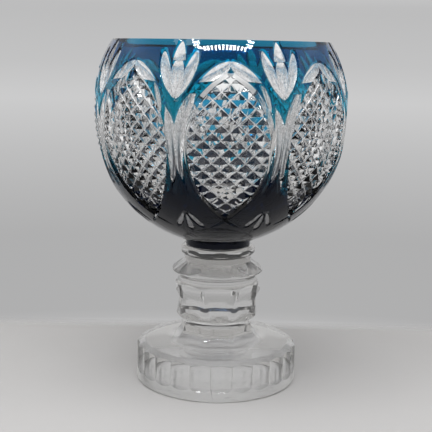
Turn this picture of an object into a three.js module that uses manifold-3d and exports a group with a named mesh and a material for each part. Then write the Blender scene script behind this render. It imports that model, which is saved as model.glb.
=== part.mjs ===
import * as THREE from 'three';
import { mergeVertices } from 'three/addons/utils/BufferGeometryUtils.js';
import Module from 'manifold-3d';

// A footed bowl of cased crystal: a clear, nearly round bowl under a thin blue skin that is
// cut through to the clear glass, a short ringed stem and a thick fluted foot. Millimetres,
// +Z up, the origin in the middle of the foot's underside, a panel of diamonds facing -Y.

// Foot
const FOOT_RADIUS = 58;
const FOOT_SIDE_HEIGHT = 25;
const FOOT_BEVEL_WIDTH = 6;
const FOOT_BEVEL_RISE = 3;
const FOOT_EDGE_CHAMFER = 0.8;
const FOOT_TOP_SLOPE = 1.5;
const FLARE_RADIUS = 38;
const FLARE_PANELS = 8;
const NECK_HEIGHT = 42;
const FOOT_FLUTES = 25;
const FLUTE_WHEEL_RADIUS = 22;
const FLUTE_SINK = 1.8;
const FLUTE_STOP = 2;

// Stem, from the neck up
const NECK_RADIUS = 24;
const NECK_SWELL = 1.5;
const DRUM_RADIUS = 29.3;
const DRUM_UNDERCUT = 5.5;
const DRUM_HEIGHT = 14;
const DRUM_PANELS = 16;
const DRUM_PANEL_STOP = 1;
const ARCH_SINK = 1.8;
const LOWER_RING_RADIUS = 32.1;
const LOWER_RING_RISE = 6.5;
const WAIST_RADIUS = 28.4;
const WAIST_RISE = 7;
const UPPER_RING_RADIUS = 32.6;
const UPPER_RING_RISE = 6;
const RING_EDGE = 0.8;
const STEM_TOP_RADIUS = 24.2;
const STEM_TOP_RISE = 7;
const RING_FACETS = 8;
const RING_FACET_SINK = 1.3;

// Collar between the stem and the bowl
const COLLAR_RADIUS = 27.2;
const COLLAR_BELLY_RISE = 8;
const COLLAR_SHOULDER = 3;
const COLLAR_COVE = 0.4;
const COLLAR_ROUNDING = 0.5;
const COLLAR_LEDGE = 1.2;
const COLLAR_FACET_SINK = 0.9;
const COLLAR_FACET_DROP = 2;

// Bowl: in section its outside follows one arc that bulges past the widest line
const BELLY_RADIUS = 90;
const PROFILE_RADIUS = 94;
const RIM_ABOVE_BELLY = 50;
const BASE_RADIUS = 23.2;
const BASE_HEIGHT = 4;
const WALL = 8.5;
const BOTTOM_THICKENING = 4;
const CASING = 0.7;
const FUSION_GAP = 0.3;
const RIM_BEVEL = 0.8;

// Cut decoration, placed in mm over the bowl's outside: across from the middle of its
// panel, and up from the widest line
const PANELS = 8;
const FIELD_TOP = 29.8;
const FIELD_BOTTOM = -70;
const FIELD_UPPER_LEVEL = 9;
const FIELD_LOWER_LEVEL = -33;
const FIELD_LOWER_FULLNESS = 0.75;
const BORDER_TO_PANEL_EDGE = 7.8;
const BORDER_SPREAD = 0.7;
const DIAMOND_WIDTH = 11.2;
const DIAMOND_HEIGHT = 10.4;
const DIAMOND_RELIEF = 2.6;
const DIAMOND_TIP_BELOW_CASING = 0.9;
const DIAMOND_MARGIN = 0.3;
const LEAF_SPREAD = 1.2;
const BLUNT_END_THINNING = 0.7;
const BLUNT_END_RUN = 0.35;
const CRESCENT_SWELL = 5.4;
const CRESCENT_EASE = 0.6;
const FULL_SHARE = 0.6;
const BLUNT_START = 0.8;
const BROW_HALF_WIDTH = 4;
const BROW_RISE = 8.4;
const BROW_CROSSING = 0.4;
const BROW_BEND_SHARE = 0.038;
const BROW_BEND_GAP = 5.3;
const BROW_END_SHARE = 0.126;
const BROW_END_GAP = 4.4;
const CRESCENT_HALF_WIDTH = 4.6;
const CRESCENT_UPPER_LEVEL = -3;
const CRESCENT_LOWER_LEVEL = -29;
const CRESCENT_LOWER_FULLNESS = 0.5;
const CRESCENT_TO_PANEL_EDGE = 3.2;
const CRESCENT_TAIL_SHARE = 0.787;
const CRESCENT_TAIL_GAP = 3.4;
const BLUNT_CRESCENT_SHARE = 0.216;
const BLUNT_CRESCENT_GAP = 5.3;
const POINTED_CRESCENT_SHARE = 0.269;
const POINTED_CRESCENT_GAP = 6.3;
const FAN_HALF_WIDTH = 3.4;
const FAN_FOOT_LEVEL = 13.4;
const FAN_FOOT_ASIDE = 0.3;
const FAN_BEND_LEVEL = 28;
const FAN_BEND_ASIDE = 7.5;
const FAN_TIP_BELOW_RIM = 7.6;
const FAN_TIP_ASIDE = 11;
const FAN_SPINE_HALF_WIDTH = 3;
const FAN_SPINE_START = 0.6;
const FAN_STEP_LEVEL = 38;
const FAN_STEP_OVERLAP = 2;
const FAN_BELOW_RIM = 0.8;

// Fineness of the curves, and how far the cutters stand above the glass
const BOWL_STEPS = 40;
const BOWL_OUTSIDE_RINGS = 10;
const BOWL_INSIDE_RINGS = 8;
const STEM_STEPS = 32;
const FLARE_STEPS = 5;
const FLUTE_WHEEL_STEPS = 24;
const BORDER_STEPS = 8;
const LEAF_STEPS = 3;
const CRESCENT_STEPS = 4;
const ABOVE_GLASS = 1.5;
const ABOVE_PANEL = 8;
const GRINDER_THICKNESS = 12;

const wasm = await Module();
wasm.setup();

// Heights and places that follow from the sizes above
const drumFloor = NECK_HEIGHT + DRUM_UNDERCUT;
const drumTop = drumFloor + DRUM_HEIGHT;
const lowerRing = drumTop + LOWER_RING_RISE;
const waist = lowerRing + WAIST_RISE;
const upperRing = waist + UPPER_RING_RISE;
const stemTop = upperRing + STEM_TOP_RISE;
const collarBelly = stemTop + COLLAR_BELLY_RISE;
const bowlFloor = collarBelly + COLLAR_SHOULDER;
const profileInset = PROFILE_RADIUS - BELLY_RADIUS;
const baseAngle = arcEndAngle(0);
const bellyHeight = bowlFloor + BASE_HEIGHT - PROFILE_RADIUS * Math.sin(baseAngle);
const rimHeight = bellyHeight + RIM_ABOVE_BELLY;
const rimAlong = PROFILE_RADIUS * Math.asin(RIM_ABOVE_BELLY / PROFILE_RADIUS);
const panelEdge = (Math.PI * BELLY_RADIUS) / PANELS;
const diamondTipDepth = CASING + DIAMOND_TIP_BELOW_CASING;
const grooveDepth = diamondTipDepth + DIAMOND_RELIEF;

// Angle below the belly at which the arc, taken this deep in the wall, meets the base button
function arcEndAngle(depth) {
  return -Math.acos((BASE_RADIUS - depth + profileInset) / (PROFILE_RADIUS - depth));
}

// A point over the bowl: across and up along its outside, and this deep below it
function onBowl(across, up, depth) {
  const rise = up / PROFILE_RADIUS;
  const surfaceRadius = PROFILE_RADIUS * Math.cos(rise) - profileInset;
  const azimuth = across / surfaceRadius;
  const reach = PROFILE_RADIUS - depth;
  const radius = reach * Math.cos(rise) - profileInset;
  const height = bellyHeight + reach * Math.sin(rise);
  return [radius * Math.sin(azimuth), -radius * Math.cos(azimuth), height];
}

// A geometry from its points and its triangles' corners
function meshed(points, corners) {
  const geometry = new THREE.BufferGeometry();
  geometry.setAttribute('position', new THREE.Float32BufferAttribute(points.flat(), 3));
  geometry.setIndex(corners);
  return geometry;
}

// A closed geometry as a solid that can be joined and cut
function solid(geometry) {
  const bare = geometry.clone();
  bare.deleteAttribute('normal');
  bare.deleteAttribute('uv');
  const merged = mergeVertices(bare);
  const index = merged.index.array;
  const corners = [];
  for (let i = 0; i < index.length; i += 3) {
    const [a, b, c] = [index[i], index[i + 1], index[i + 2]];
    if (a !== b && b !== c && c !== a) {
      corners.push(a, b, c);
    }
  }
  const vertProperties = new Float32Array(merged.attributes.position.array);
  const triVerts = new Uint32Array(corners);
  return new wasm.Manifold(new wasm.Mesh({ numProp: 3, vertProperties, triVerts }));
}

// The solid's surface as a geometry again
function surface(body) {
  const { numProp, vertProperties, triVerts } = body.getMesh();
  const points = [];
  for (let i = 0; i < vertProperties.length; i += numProp) {
    points.push([vertProperties[i], vertProperties[i + 1], vertProperties[i + 2]]);
  }
  return meshed(points, Array.from(triVerts));
}

// One solid from several
function joined(bodies) {
  return bodies.reduce((whole, body) => whole.add(body));
}

// Copies of a geometry, evenly spaced round the axis, as solids
function ringOf(geometry, count) {
  const copies = [];
  for (let i = 0; i < count; i += 1) {
    copies.push(solid(geometry.clone().rotateZ((i * 2 * Math.PI) / count)));
  }
  return copies;
}

// A turned form from its profile of [radius, height] points, with its axis upright
function turned(profile, steps) {
  const outline = profile.map(([radius, height]) => new THREE.Vector2(radius, height));
  return new THREE.LatheGeometry(outline, steps).rotateX(Math.PI / 2);
}

// Points of an arc in the [radius, height] section, both ends included
function arcPoints(centreRadius, centreHeight, radius, from, to, steps) {
  const points = [];
  for (let i = 0; i <= steps; i += 1) {
    const angle = from + ((to - from) * i) / steps;
    points.push([centreRadius + radius * Math.cos(angle), centreHeight + radius * Math.sin(angle)]);
  }
  return points;
}

// The bowl's outside in section, this deep in the wall, from the base button to the rim
function outsideProfile(depth) {
  const radius = PROFILE_RADIUS - depth;
  const rimAngle = Math.asin(RIM_ABOVE_BELLY / radius);
  return [
    [BASE_RADIUS - depth, bowlFloor],
    ...arcPoints(-profileInset, bellyHeight, radius, arcEndAngle(depth), rimAngle, BOWL_OUTSIDE_RINGS),
  ];
}

// The hollow in section, from the rim to the axis
function hollowProfile() {
  const radius = PROFILE_RADIUS - WALL;
  const centre = bellyHeight + BOTTOM_THICKENING;
  const rimAngle = Math.asin((RIM_ABOVE_BELLY - BOTTOM_THICKENING) / radius);
  const poleAngle = -Math.acos(profileInset / radius);
  const arc = arcPoints(-profileInset, centre, radius, rimAngle, poleAngle, BOWL_INSIDE_RINGS);
  const [rimRadius] = arc[0];
  arc[arc.length - 1][0] = 0;
  return [
    [rimRadius + RIM_BEVEL, rimHeight],
    [rimRadius, rimHeight - RIM_BEVEL],
    ...arc.slice(1),
  ];
}

function crystalBody() {
  const outside = outsideProfile(CASING + FUSION_GAP);
  return solid(turned([[0, bowlFloor], ...outside, ...hollowProfile()], BOWL_STEPS));
}

function casingBody() {
  const outside = outsideProfile(0);
  const inside = outsideProfile(CASING).reverse();
  return solid(turned([...outside, ...inside, outside[0]], BOWL_STEPS));
}

// A sheet over the bowl, [across, up, depth] points and triangles, closed up to a lid. Where
// a point has a fourth and a fifth value, its lid lies that far across and up from it.
function sheetSolid(sheet, lidDepth) {
  const count = sheet.points.length;
  const face = sheet.points.map(([across, up, depth]) => onBowl(across, up, depth));
  const lid = sheet.points.map(([across, up, , aside = 0, above = 0]) => (
    onBowl(across + aside, up + above, lidDepth)
  ));
  const corners = [];
  const edges = new Set();
  for (const [a, b, c] of sheet.triangles) {
    corners.push(a, c, b, a + count, b + count, c + count);
    edges.add(`${a} ${b}`);
    edges.add(`${b} ${c}`);
    edges.add(`${c} ${a}`);
  }
  for (const edge of edges) {
    const [from, to] = edge.split(' ').map(Number);
    if (!edges.has(`${to} ${from}`)) {
      corners.push(from, to, to + count, from, to + count, from + count);
    }
  }
  return solid(meshed([...face, ...lid], corners));
}

// A smooth curve from one end to the other that passes this far across at its middle, pulled
// out at two levels and a little fuller at the lower one
function bowed(start, end, middle, upperLevel, lowerLevel, fullness) {
  const pull = (8 * middle - start.x - end.x) / 6;
  const upperPull = new THREE.Vector2(pull - fullness, upperLevel);
  const lowerPull = new THREE.Vector2(pull + fullness, lowerLevel);
  return new THREE.CubicBezierCurve(start, upperPull, lowerPull, end);
}

// The border's middle line on the right of a panel, from its top crossing to its bottom one
function borderLine() {
  const top = new THREE.Vector2(0, FIELD_TOP);
  const bottom = new THREE.Vector2(0, FIELD_BOTTOM);
  const middle = panelEdge - BORDER_TO_PANEL_EDGE;
  return bowed(top, bottom, middle, FIELD_UPPER_LEVEL, FIELD_LOWER_LEVEL, FIELD_LOWER_FULLNESS);
}

// A point outside the border's middle line, at this share of its length and this far off
function besideBorder(share, gap) {
  const line = borderLine();
  const along = line.getTangent(share);
  const { x, y } = line.getPoint(share);
  return new THREE.Vector2(x - along.y * gap, y + along.x * gap);
}

// Half the width between the borders' middle lines at this height up the bowl
function fieldHalfWidth(up) {
  const points = borderLine().getPoints(BORDER_STEPS);
  const next = points.findIndex(({ y }) => y <= up);
  if (next < 1) {
    return -Infinity;
  }
  const share = (points[next - 1].y - up) / (points[next - 1].y - points[next].y);
  return THREE.MathUtils.lerp(points[next - 1].x, points[next].x, share);
}

// The relief diamonds that fit whole inside the border: low pyramids between crossed V
// grooves, as a sheet of [across, up, depth] points and triangles
function diamondSheet() {
  const points = [];
  const triangles = [];
  const known = new Map();
  const place = (column, row) => {
    const key = `${column} ${row}`;
    if (!known.has(key)) {
      const isTip = (column + row) % 2 === 0;
      const depth = isTip ? diamondTipDepth : grooveDepth;
      known.set(key, points.length);
      points.push([(column * DIAMOND_WIDTH) / 2, FIELD_TOP - (row * DIAMOND_HEIGHT) / 2, depth]);
    }
    return known.get(key);
  };
  const fits = (column, row) => {
    const across = (Math.abs(column) * DIAMOND_WIDTH) / 2;
    const up = FIELD_TOP - (row * DIAMOND_HEIGHT) / 2;
    return across < fieldHalfWidth(up) - DIAMOND_MARGIN;
  };
  const cornersOf = (column, row) => [
    [column + 1, row],
    [column, row - 1],
    [column - 1, row],
    [column, row + 1],
  ];
  const isWhole = (column, row) => cornersOf(column, row).every(([at, level]) => fits(at, level));
  const isHeld = (column, row) => {
    const beside = [[1, 1], [1, -1], [-1, 1], [-1, -1]];
    return beside.filter(([over, down]) => isWhole(column + over, row + down)).length > 1;
  };
  const rows = Math.ceil((2 * (FIELD_TOP - FIELD_BOTTOM)) / DIAMOND_HEIGHT);
  const columns = Math.ceil((2 * panelEdge) / DIAMOND_WIDTH);
  for (let row = 1; row < rows; row += 1) {
    for (let column = -columns; column <= columns; column += 1) {
      if ((column + row) % 2 === 0 && isWhole(column, row) && isHeld(column, row)) {
        const tip = place(column, row);
        const corners = cornersOf(column, row).map(([at, level]) => place(at, level));
        corners.forEach((corner, i) => triangles.push([tip, corner, corners[(i + 1) % 4]]));
      }
    }
  }
  return { points, triangles };
}

// The closed loop of points round the outside of a sheet, anticlockwise
function outlineOf(triangles) {
  const edges = new Set(triangles.flatMap(([a, b, c]) => [`${a} ${b}`, `${b} ${c}`, `${c} ${a}`]));
  const next = new Map();
  for (const edge of edges) {
    const [from, to] = edge.split(' ').map(Number);
    if (!edges.has(`${to} ${from}`)) {
      next.set(from, to);
    }
  }
  const [start] = next.keys();
  const loop = [start];
  while (loop.length < next.size && next.get(loop[loop.length - 1]) !== start) {
    loop.push(next.get(loop[loop.length - 1]));
  }
  return loop;
}

// What the wheels take from a panel: its border's sloping outer side, and all inside the
// border down to the faces of the diamonds
function panelCut() {
  const line = borderLine();
  const flare = BORDER_SPREAD * (grooveDepth + ABOVE_PANEL);
  const right = [];
  for (let i = 0; i <= BORDER_STEPS; i += 1) {
    const t = i / BORDER_STEPS;
    const { x, y } = line.getPoint(t);
    const along = line.getTangent(t);
    const isTip = i === 0 || i === BORDER_STEPS;
    const aside = isTip ? 0 : -along.y * flare;
    const above = isTip ? flare / along.x : along.x * flare;
    right.push([x, y, grooveDepth, aside, above]);
  }
  const left = right
    .slice(1, BORDER_STEPS)
    .map(([x, y, depth, aside, above]) => [-x, y, depth, -aside, above]);
  const border = [...left, ...right.reverse()];
  const { points, triangles } = diamondSheet();
  const hole = outlineOf(triangles);
  const first = points.length;
  points.push(...border);
  const flat = (point) => new THREE.Vector2(point[0], point[1]);
  const corner = (i) => (i < border.length ? first + i : hole[i - border.length]);
  const between = THREE.ShapeUtils.triangulateShape(border.map(flat), [hole.map((i) => flat(points[i]))]);
  for (const [a, b, c] of between) {
    triangles.push([corner(a), corner(b), corner(c)]);
  }
  return sheetSolid({ points, triangles }, -ABOVE_PANEL);
}

// One stroke of a V-edged wheel along a line over the bowl. share(t) is the part of the
// full sink that it reaches at t, and spread is its half width for each mm of depth.
function stroke(line, { sink, spread, share, steps, side }) {
  const points = [];
  const corners = [];
  for (let i = 0; i <= steps; i += 1) {
    const t = i / steps;
    const { x, y } = line.getPoint(t);
    const ahead = line.getPoint(t + 0.01);
    const behind = line.getPoint(t - 0.01);
    const along = new THREE.Vector2(ahead.x - behind.x, ahead.y - behind.y).normalize();
    const depth = sink * share(t);
    const half = spread * (depth + ABOVE_GLASS);
    points.push(onBowl(side * x, y, depth));
    points.push(onBowl(side * (x - along.y * half), y + along.x * half, -ABOVE_GLASS));
    points.push(onBowl(side * (x + along.y * half), y - along.x * half, -ABOVE_GLASS));
  }
  const face = (a, b, c) => corners.push(...(side > 0 ? [a, b, c] : [a, c, b]));
  face(0, 2, 1);
  for (let i = 0; i < 3 * steps; i += 3) {
    face(i, i + 1, i + 4);
    face(i, i + 4, i + 3);
    face(i + 1, i + 2, i + 5);
    face(i + 1, i + 5, i + 4);
    face(i + 2, i, i + 3);
    face(i + 2, i + 3, i + 5);
  }
  const end = 3 * steps;
  face(end, end + 1, end + 2);
  return solid(meshed(points, corners));
}

// How a stroke's depth runs from its start to its end, as a share of its full sink
const pointedBothEnds = (t) => 4 * t * (1 - t);
const bluntAtEnd = (t) => 1 - BLUNT_END_THINNING * Math.max(0, 1 - t / BLUNT_END_RUN) ** 2;
const bluntAtStart = (t) => 1 - t ** 2;
const crescent = (t) => Math.min(1, CRESCENT_SWELL * t * (1 - t)) ** CRESCENT_EASE;

function fullThenPointed(t) {
  const run = Math.max(0, t - FULL_SHARE) / (1 - FULL_SHARE);
  const opening = Math.min(1, t / FULL_SHARE);
  return (BLUNT_START + (1 - BLUNT_START) * opening) * (1 - run ** 2);
}

// A leaf-shaped cut of this half width, made with the blunt wheel
function leaf(line, halfWidth, share, side = 1, steps = LEAF_STEPS) {
  return stroke(line, { sink: halfWidth / LEAF_SPREAD, spread: LEAF_SPREAD, share, side, steps });
}

// The pair of broad leaves that arch over a panel's top and leave a blue tip between them
function browCuts() {
  const line = new THREE.QuadraticBezierCurve(
    new THREE.Vector2(-BROW_CROSSING, FIELD_TOP + BROW_RISE),
    besideBorder(BROW_BEND_SHARE, BROW_BEND_GAP),
    besideBorder(BROW_END_SHARE, BROW_END_GAP),
  );
  return [leaf(line, BROW_HALF_WIDTH, bluntAtEnd, 1), leaf(line, BROW_HALF_WIDTH, bluntAtEnd, -1)];
}

// The crescents down both sides of a panel, which run into those of the panels beside it:
// blunt-topped on the left, pointed on the right
function sideCuts() {
  const tail = besideBorder(CRESCENT_TAIL_SHARE, CRESCENT_TAIL_GAP);
  const middle = panelEdge - CRESCENT_TO_PANEL_EDGE;
  const crescentFrom = (top) => (
    bowed(top, tail, middle, CRESCENT_UPPER_LEVEL, CRESCENT_LOWER_LEVEL, CRESCENT_LOWER_FULLNESS)
  );
  const blunt = crescentFrom(besideBorder(BLUNT_CRESCENT_SHARE, BLUNT_CRESCENT_GAP));
  const pointed = crescentFrom(besideBorder(POINTED_CRESCENT_SHARE, POINTED_CRESCENT_GAP));
  return [
    leaf(blunt, CRESCENT_HALF_WIDTH, fullThenPointed, -1, CRESCENT_STEPS),
    leaf(pointed, CRESCENT_HALF_WIDTH, crescent, 1, CRESCENT_STEPS),
  ];
}

// The three-leaved fan that stands between two panels under the rim
function shoulderFan() {
  const outer = new THREE.QuadraticBezierCurve(
    new THREE.Vector2(FAN_FOOT_ASIDE, FAN_FOOT_LEVEL),
    new THREE.Vector2(FAN_BEND_ASIDE, FAN_BEND_LEVEL),
    new THREE.Vector2(FAN_TIP_ASIDE, rimAlong - FAN_TIP_BELOW_RIM),
  );
  const upright = (from, to) => new THREE.LineCurve(new THREE.Vector2(0, from), new THREE.Vector2(0, to));
  const spine = upright(FAN_FOOT_LEVEL + FAN_SPINE_START, FAN_STEP_LEVEL);
  const middle = upright(FAN_STEP_LEVEL - FAN_STEP_OVERLAP, rimAlong - FAN_BELOW_RIM);
  return [
    leaf(outer, FAN_HALF_WIDTH, crescent, 1),
    leaf(outer, FAN_HALF_WIDTH, crescent, -1),
    leaf(spine, FAN_SPINE_HALF_WIDTH, pointedBothEnds),
    leaf(middle, FAN_HALF_WIDTH, bluntAtStart),
  ];
}

// A body after all the wheels' cuts, once round the bowl
function decorated(body) {
  const onPanels = [panelCut(), ...browCuts(), ...sideCuts()].map(surface);
  const between = shoulderFan().map((cut) => surface(cut).rotateZ(Math.PI / PANELS));
  const cuts = [...onPanels, ...between].flatMap((cut) => ringOf(cut, PANELS));
  return cuts.reduce((rest, cut) => rest.subtract(cut), body);
}

// The loose bodies of a solid, each as its own geometry, the largest first
function bodiesOf(body) {
  const whole = mergeVertices(surface(body));
  const index = whole.index.array;
  const position = whole.attributes.position;
  const parent = Array.from({ length: position.count }, (_, i) => i);
  const root = (i) => {
    let at = i;
    while (parent[at] !== at) {
      parent[at] = parent[parent[at]];
      at = parent[at];
    }
    return at;
  };
  for (let i = 0; i < index.length; i += 3) {
    parent[root(index[i])] = root(index[i + 1]);
    parent[root(index[i + 1])] = root(index[i + 2]);
  }
  const groups = new Map();
  for (let i = 0; i < index.length; i += 3) {
    const key = root(index[i]);
    if (!groups.has(key)) {
      groups.set(key, []);
    }
    groups.get(key).push(index[i], index[i + 1], index[i + 2]);
  }
  const bodies = [...groups.values()].map((corners) => {
    const used = [...new Set(corners)];
    const place = new Map(used.map((vertex, i) => [vertex, i]));
    const points = used.map((i) => [position.getX(i), position.getY(i), position.getZ(i)]);
    return meshed(points, corners.map((i) => place.get(i)));
  });
  return bodies.sort((a, b) => b.index.count - a.index.count);
}

// The neck: eight hollow-ground panels that flare out onto the foot's top
function neckFlare(flareFoot) {
  const neckCorner = NECK_RADIUS / Math.cos(Math.PI / FLARE_PANELS);
  const width = FLARE_RADIUS - neckCorner;
  const rise = NECK_HEIGHT - flareFoot;
  const curve = arcPoints(0, 0, 1, 0, Math.PI / 2, FLARE_STEPS)
    .map(([along, up]) => [FLARE_RADIUS - width * up, NECK_HEIGHT - rise * along]);
  const profile = [[0, FOOT_SIDE_HEIGHT], [FLARE_RADIUS, FOOT_SIDE_HEIGHT], ...curve, [0, NECK_HEIGHT]];
  return solid(turned(profile, FLARE_PANELS).rotateZ(Math.PI / FLARE_PANELS));
}

// The foot: a drum with a bevelled shoulder, a flaring neck and fluted side
function foot() {
  const shoulder = FOOT_SIDE_HEIGHT + FOOT_BEVEL_RISE;
  const flareFoot = shoulder + FOOT_TOP_SLOPE;
  const profile = [
    [0, 0],
    [FOOT_RADIUS - FOOT_EDGE_CHAMFER, 0],
    [FOOT_RADIUS, FOOT_EDGE_CHAMFER],
    [FOOT_RADIUS, FOOT_SIDE_HEIGHT],
    [FOOT_RADIUS - FOOT_BEVEL_WIDTH, shoulder],
    [FLARE_RADIUS, flareFoot],
    [0, flareFoot],
  ];
  const wheelRadius = FLUTE_WHEEL_RADIUS;
  const wheel = new THREE.CylinderGeometry(wheelRadius, wheelRadius, 2 * shoulder, FLUTE_WHEEL_STEPS)
    .rotateX(Math.PI / 2)
    .translate(0, -FOOT_RADIUS - wheelRadius + FLUTE_SINK, FLUTE_STOP + shoulder);
  return solid(turned(profile, 2 * FOOT_FLUTES))
    .subtract(joined(ringOf(wheel, FOOT_FLUTES)))
    .add(neckFlare(flareFoot));
}

// A block whose inner face grinds a flat, at this radius and height, leaning by tilt
function grinder(width, height, radius, z, tilt = 0) {
  return new THREE.BoxGeometry(width, GRINDER_THICKNESS, height)
    .translate(0, -GRINDER_THICKNESS / 2, 0)
    .rotateX(-tilt)
    .translate(0, -radius, z);
}

// The stem: a faceted drum and two sharp rings with a waist between them
function stem() {
  const profile = [
    [0, NECK_HEIGHT],
    [NECK_RADIUS, NECK_HEIGHT],
    [NECK_RADIUS + NECK_SWELL, NECK_HEIGHT + DRUM_UNDERCUT / 2],
    [DRUM_RADIUS, drumFloor],
    [DRUM_RADIUS, drumTop],
    [LOWER_RING_RADIUS, lowerRing - RING_EDGE],
    [LOWER_RING_RADIUS, lowerRing + RING_EDGE],
    [WAIST_RADIUS, waist],
    [UPPER_RING_RADIUS, upperRing - RING_EDGE],
    [UPPER_RING_RADIUS, upperRing + RING_EDGE],
    [STEM_TOP_RADIUS, stemTop],
    [0, stemTop],
  ];
  const ringWidth = 2 * UPPER_RING_RADIUS;
  const slopeRise = stemTop - upperRing - RING_EDGE;
  const slopeRun = UPPER_RING_RADIUS - STEM_TOP_RADIUS;
  const lean = Math.atan2(slopeRun, slopeRise);
  const middle = (UPPER_RING_RADIUS + STEM_TOP_RADIUS) / 2 - RING_FACET_SINK;
  const slopeMiddle = upperRing + RING_EDGE + slopeRise / 2;
  const panelRadius = DRUM_RADIUS * Math.cos(Math.PI / DRUM_PANELS);
  const drumMiddle = drumFloor + DRUM_HEIGHT / 2;
  const archMiddle = (lowerRing + drumMiddle) / 2 - RING_EDGE;
  const panel = grinder(ringWidth, DRUM_HEIGHT, panelRadius, drumMiddle - DRUM_PANEL_STOP)
    .rotateZ(Math.PI / DRUM_PANELS);
  const arch = grinder(ringWidth, lowerRing - drumMiddle, DRUM_RADIUS - ARCH_SINK, archMiddle);
  const thumb = grinder(ringWidth, 3 * slopeRise, middle, slopeMiddle, lean);
  return solid(turned(profile, STEM_STEPS))
    .subtract(joined(ringOf(panel, DRUM_PANELS)))
    .subtract(joined(ringOf(arch, RING_FACETS)))
    .subtract(joined(ringOf(thumb, RING_FACETS)));
}

// The collar: a rounded disc under the bowl, with a flat ground under each panel
function collar() {
  const profile = [
    [0, stemTop],
    [STEM_TOP_RADIUS, stemTop],
    [STEM_TOP_RADIUS + COLLAR_COVE, stemTop + COLLAR_BELLY_RISE / 2],
    [COLLAR_RADIUS - COLLAR_ROUNDING, collarBelly - COLLAR_BELLY_RISE / 4],
    [COLLAR_RADIUS, collarBelly],
    [COLLAR_RADIUS - COLLAR_ROUNDING, collarBelly + COLLAR_SHOULDER / 2],
    [BASE_RADIUS + COLLAR_LEDGE, bowlFloor],
    [0, bowlFloor],
  ];
  const flatRadius = COLLAR_RADIUS - COLLAR_FACET_SINK;
  const flatMiddle = collarBelly - COLLAR_FACET_DROP;
  const flat = grinder(2 * COLLAR_RADIUS, COLLAR_BELLY_RISE, flatRadius, flatMiddle);
  return solid(turned(profile, STEM_STEPS)).subtract(joined(ringOf(flat, PANELS)));
}

const blueGlass = () => new THREE.MeshStandardMaterial({ color: 0x0b6494, roughness: 0.04, metalness: 0 });
const clearGlass = () => new THREE.MeshStandardMaterial({ color: 0xdfe5e7, roughness: 0.04, metalness: 0 });

function piece(name, geometry, material) {
  const mesh = new THREE.Mesh(geometry, material);
  mesh.name = name;
  return mesh;
}

// The blue skin's loose pieces by name: the shoulder, the base, and the tips round the bowl
// from the panel that faces -Y
function casingPieces() {
  const boxOf = (skin) => new THREE.Box3().setFromBufferAttribute(skin.attributes.position);
  const azimuthOf = (skin) => {
    const { x, y } = boxOf(skin).getCenter(new THREE.Vector3());
    const halfPanel = Math.PI / PANELS;
    return (Math.atan2(x, -y) + halfPanel + 2 * Math.PI) % (2 * Math.PI);
  };
  const skins = bodiesOf(decorated(casingBody()));
  const [shoulder, ...rest] = skins.sort((a, b) => boxOf(b).max.z - boxOf(a).max.z);
  const base = rest.pop();
  const tips = rest.sort((a, b) => azimuthOf(a) - azimuthOf(b));
  return [
    ['casing_shoulder', shoulder],
    ['casing_base', base],
    ...tips.map((tip, i) => [`casing_tip_${i + 1}`, tip]),
  ];
}

const bowl = new THREE.Group();
bowl.add(piece('foot', surface(foot()), clearGlass()));
bowl.add(piece('stem', surface(stem()), clearGlass()));
bowl.add(piece('collar', surface(collar()), clearGlass()));
bowl.add(piece('bowl_crystal', surface(decorated(crystalBody())), clearGlass()));
for (const [name, geometry] of casingPieces()) {
  bowl.add(piece(name, geometry, blueGlass()));
}

export default bowl;
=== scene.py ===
import math

import bmesh
import bpy
from mathutils import Matrix, Vector


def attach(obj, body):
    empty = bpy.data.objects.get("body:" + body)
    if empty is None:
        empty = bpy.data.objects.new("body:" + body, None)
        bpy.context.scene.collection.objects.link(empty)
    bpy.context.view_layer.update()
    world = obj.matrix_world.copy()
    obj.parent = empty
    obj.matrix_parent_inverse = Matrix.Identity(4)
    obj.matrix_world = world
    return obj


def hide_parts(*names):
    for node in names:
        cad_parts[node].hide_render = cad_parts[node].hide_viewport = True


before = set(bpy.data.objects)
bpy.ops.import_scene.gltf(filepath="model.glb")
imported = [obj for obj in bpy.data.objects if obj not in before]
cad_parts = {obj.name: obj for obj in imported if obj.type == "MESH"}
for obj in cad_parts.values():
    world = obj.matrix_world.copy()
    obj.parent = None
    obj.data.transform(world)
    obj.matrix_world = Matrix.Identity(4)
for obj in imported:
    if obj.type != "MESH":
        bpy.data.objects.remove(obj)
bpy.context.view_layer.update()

# Foot: the thick clear drum that the bowl stands on. It is pressed of lead crystal with a flaring
# neck and fluted by a broad wheel that stops just above the table. All of it is polished but the
# underside, which is ground flat and left matt.
MM = 0.001
FOOT_RADIUS = 58
FOOT_SIDE_HEIGHT = 25
FOOT_BEVEL_WIDTH = 6
FOOT_BEVEL_RISE = 3
FOOT_EDGE_CHAMFER = 0.8
FOOT_TOP_SLOPE = 1.5
FOOT_ROUNDING = 0.5
FLARE_RADIUS = 38
FLARE_PANELS = 8
NECK_HEIGHT = 42
NECK_RADIUS = 24
FOOT_FLUTES = 25
FLUTE_WHEEL_RADIUS = 22
FLUTE_SINK = 1.8
FLUTE_STOP = 2
FLUTE_RUN_OUT = 8
FLUTE_WHEEL_TOP = 40
PANEL_RUN_OUT = 1.6
TURNED_STEPS = 200


def mesh_piece(name, points, faces):
    """A closed piece from points in millimetres, with its faces pointing out."""
    mesh = bpy.data.meshes.new(name)
    mesh.from_pydata([Vector(point) * MM for point in points], [], faces)
    loose = bmesh.new()
    loose.from_mesh(mesh)
    bmesh.ops.recalc_face_normals(loose, faces=loose.faces)
    loose.to_mesh(mesh)
    loose.free()
    piece = bpy.data.objects.new(name, mesh)
    bpy.context.collection.objects.link(piece)
    return piece


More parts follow.
